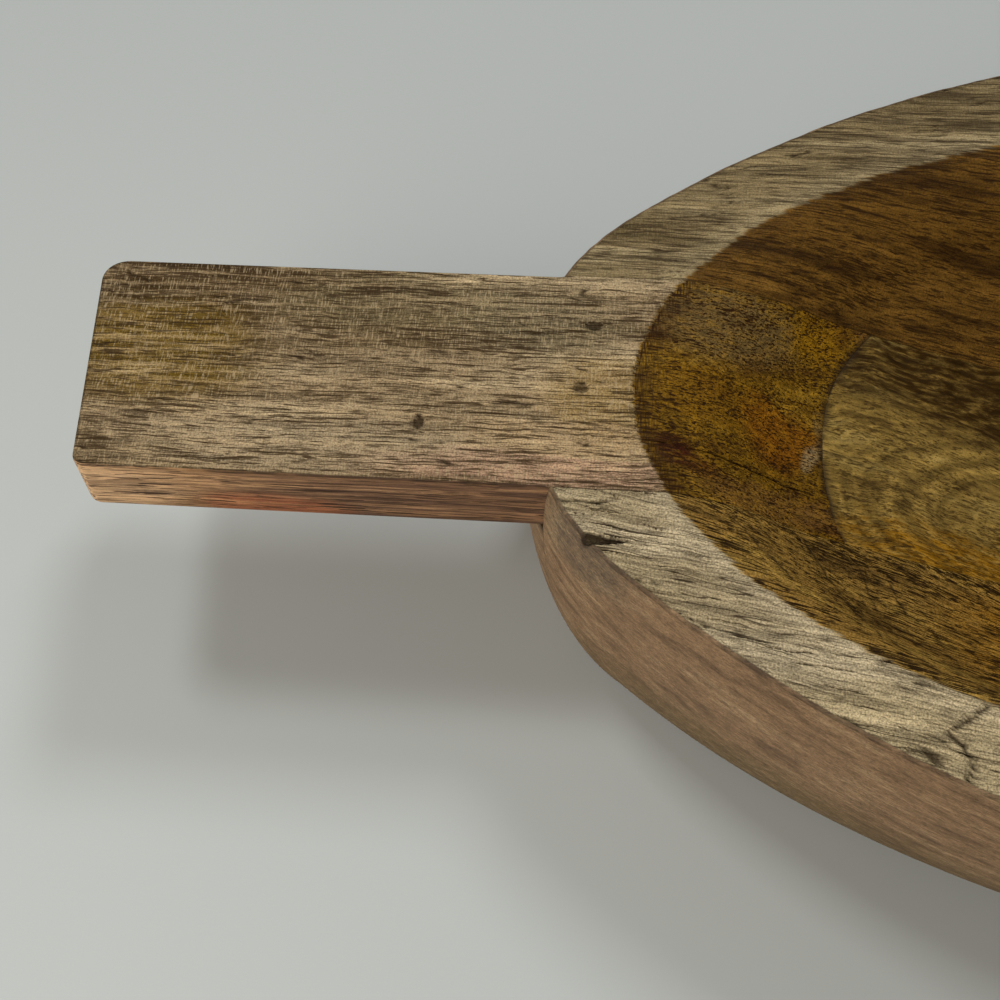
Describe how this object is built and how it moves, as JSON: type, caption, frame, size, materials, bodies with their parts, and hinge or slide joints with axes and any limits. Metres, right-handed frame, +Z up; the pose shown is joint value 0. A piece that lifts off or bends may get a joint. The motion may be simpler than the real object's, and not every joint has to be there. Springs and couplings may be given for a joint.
{
  "type": "wooden serving bowl",
  "caption": "Long boat-shaped wooden serving bowl with a wide flat rim, a sloping oval hollow and a flat board handle level with the rim at each end.",
  "frame": {"origin": "centre of the flat base, on the surface that the bowl stands on", "axes": "+X along the bowl towards the right handle, +Y towards the back, +Z up"},
  "size_m": [0.521, 0.2004, 0.058],
  "materials": {
    "center_wood": "oiled in the hollow, sanded smooth underneath",
    "back_wood": "brushed dry rim, oiled hollow, sanded outside",
    "front_wood": "brushed dry rim, oiled hollow, sanded outside",
    "handle_wood": "brushed dry top, sanded sides, oiled where it shows in the hollow"
  },
  "bodies": {
    "root": {"center_block": "center_wood", "side_block_back": "back_wood", "side_block_front": "front_wood", "handle_board_left": "handle_wood", "handle_board_right": "handle_wood"}
  },
  "joints": []
}
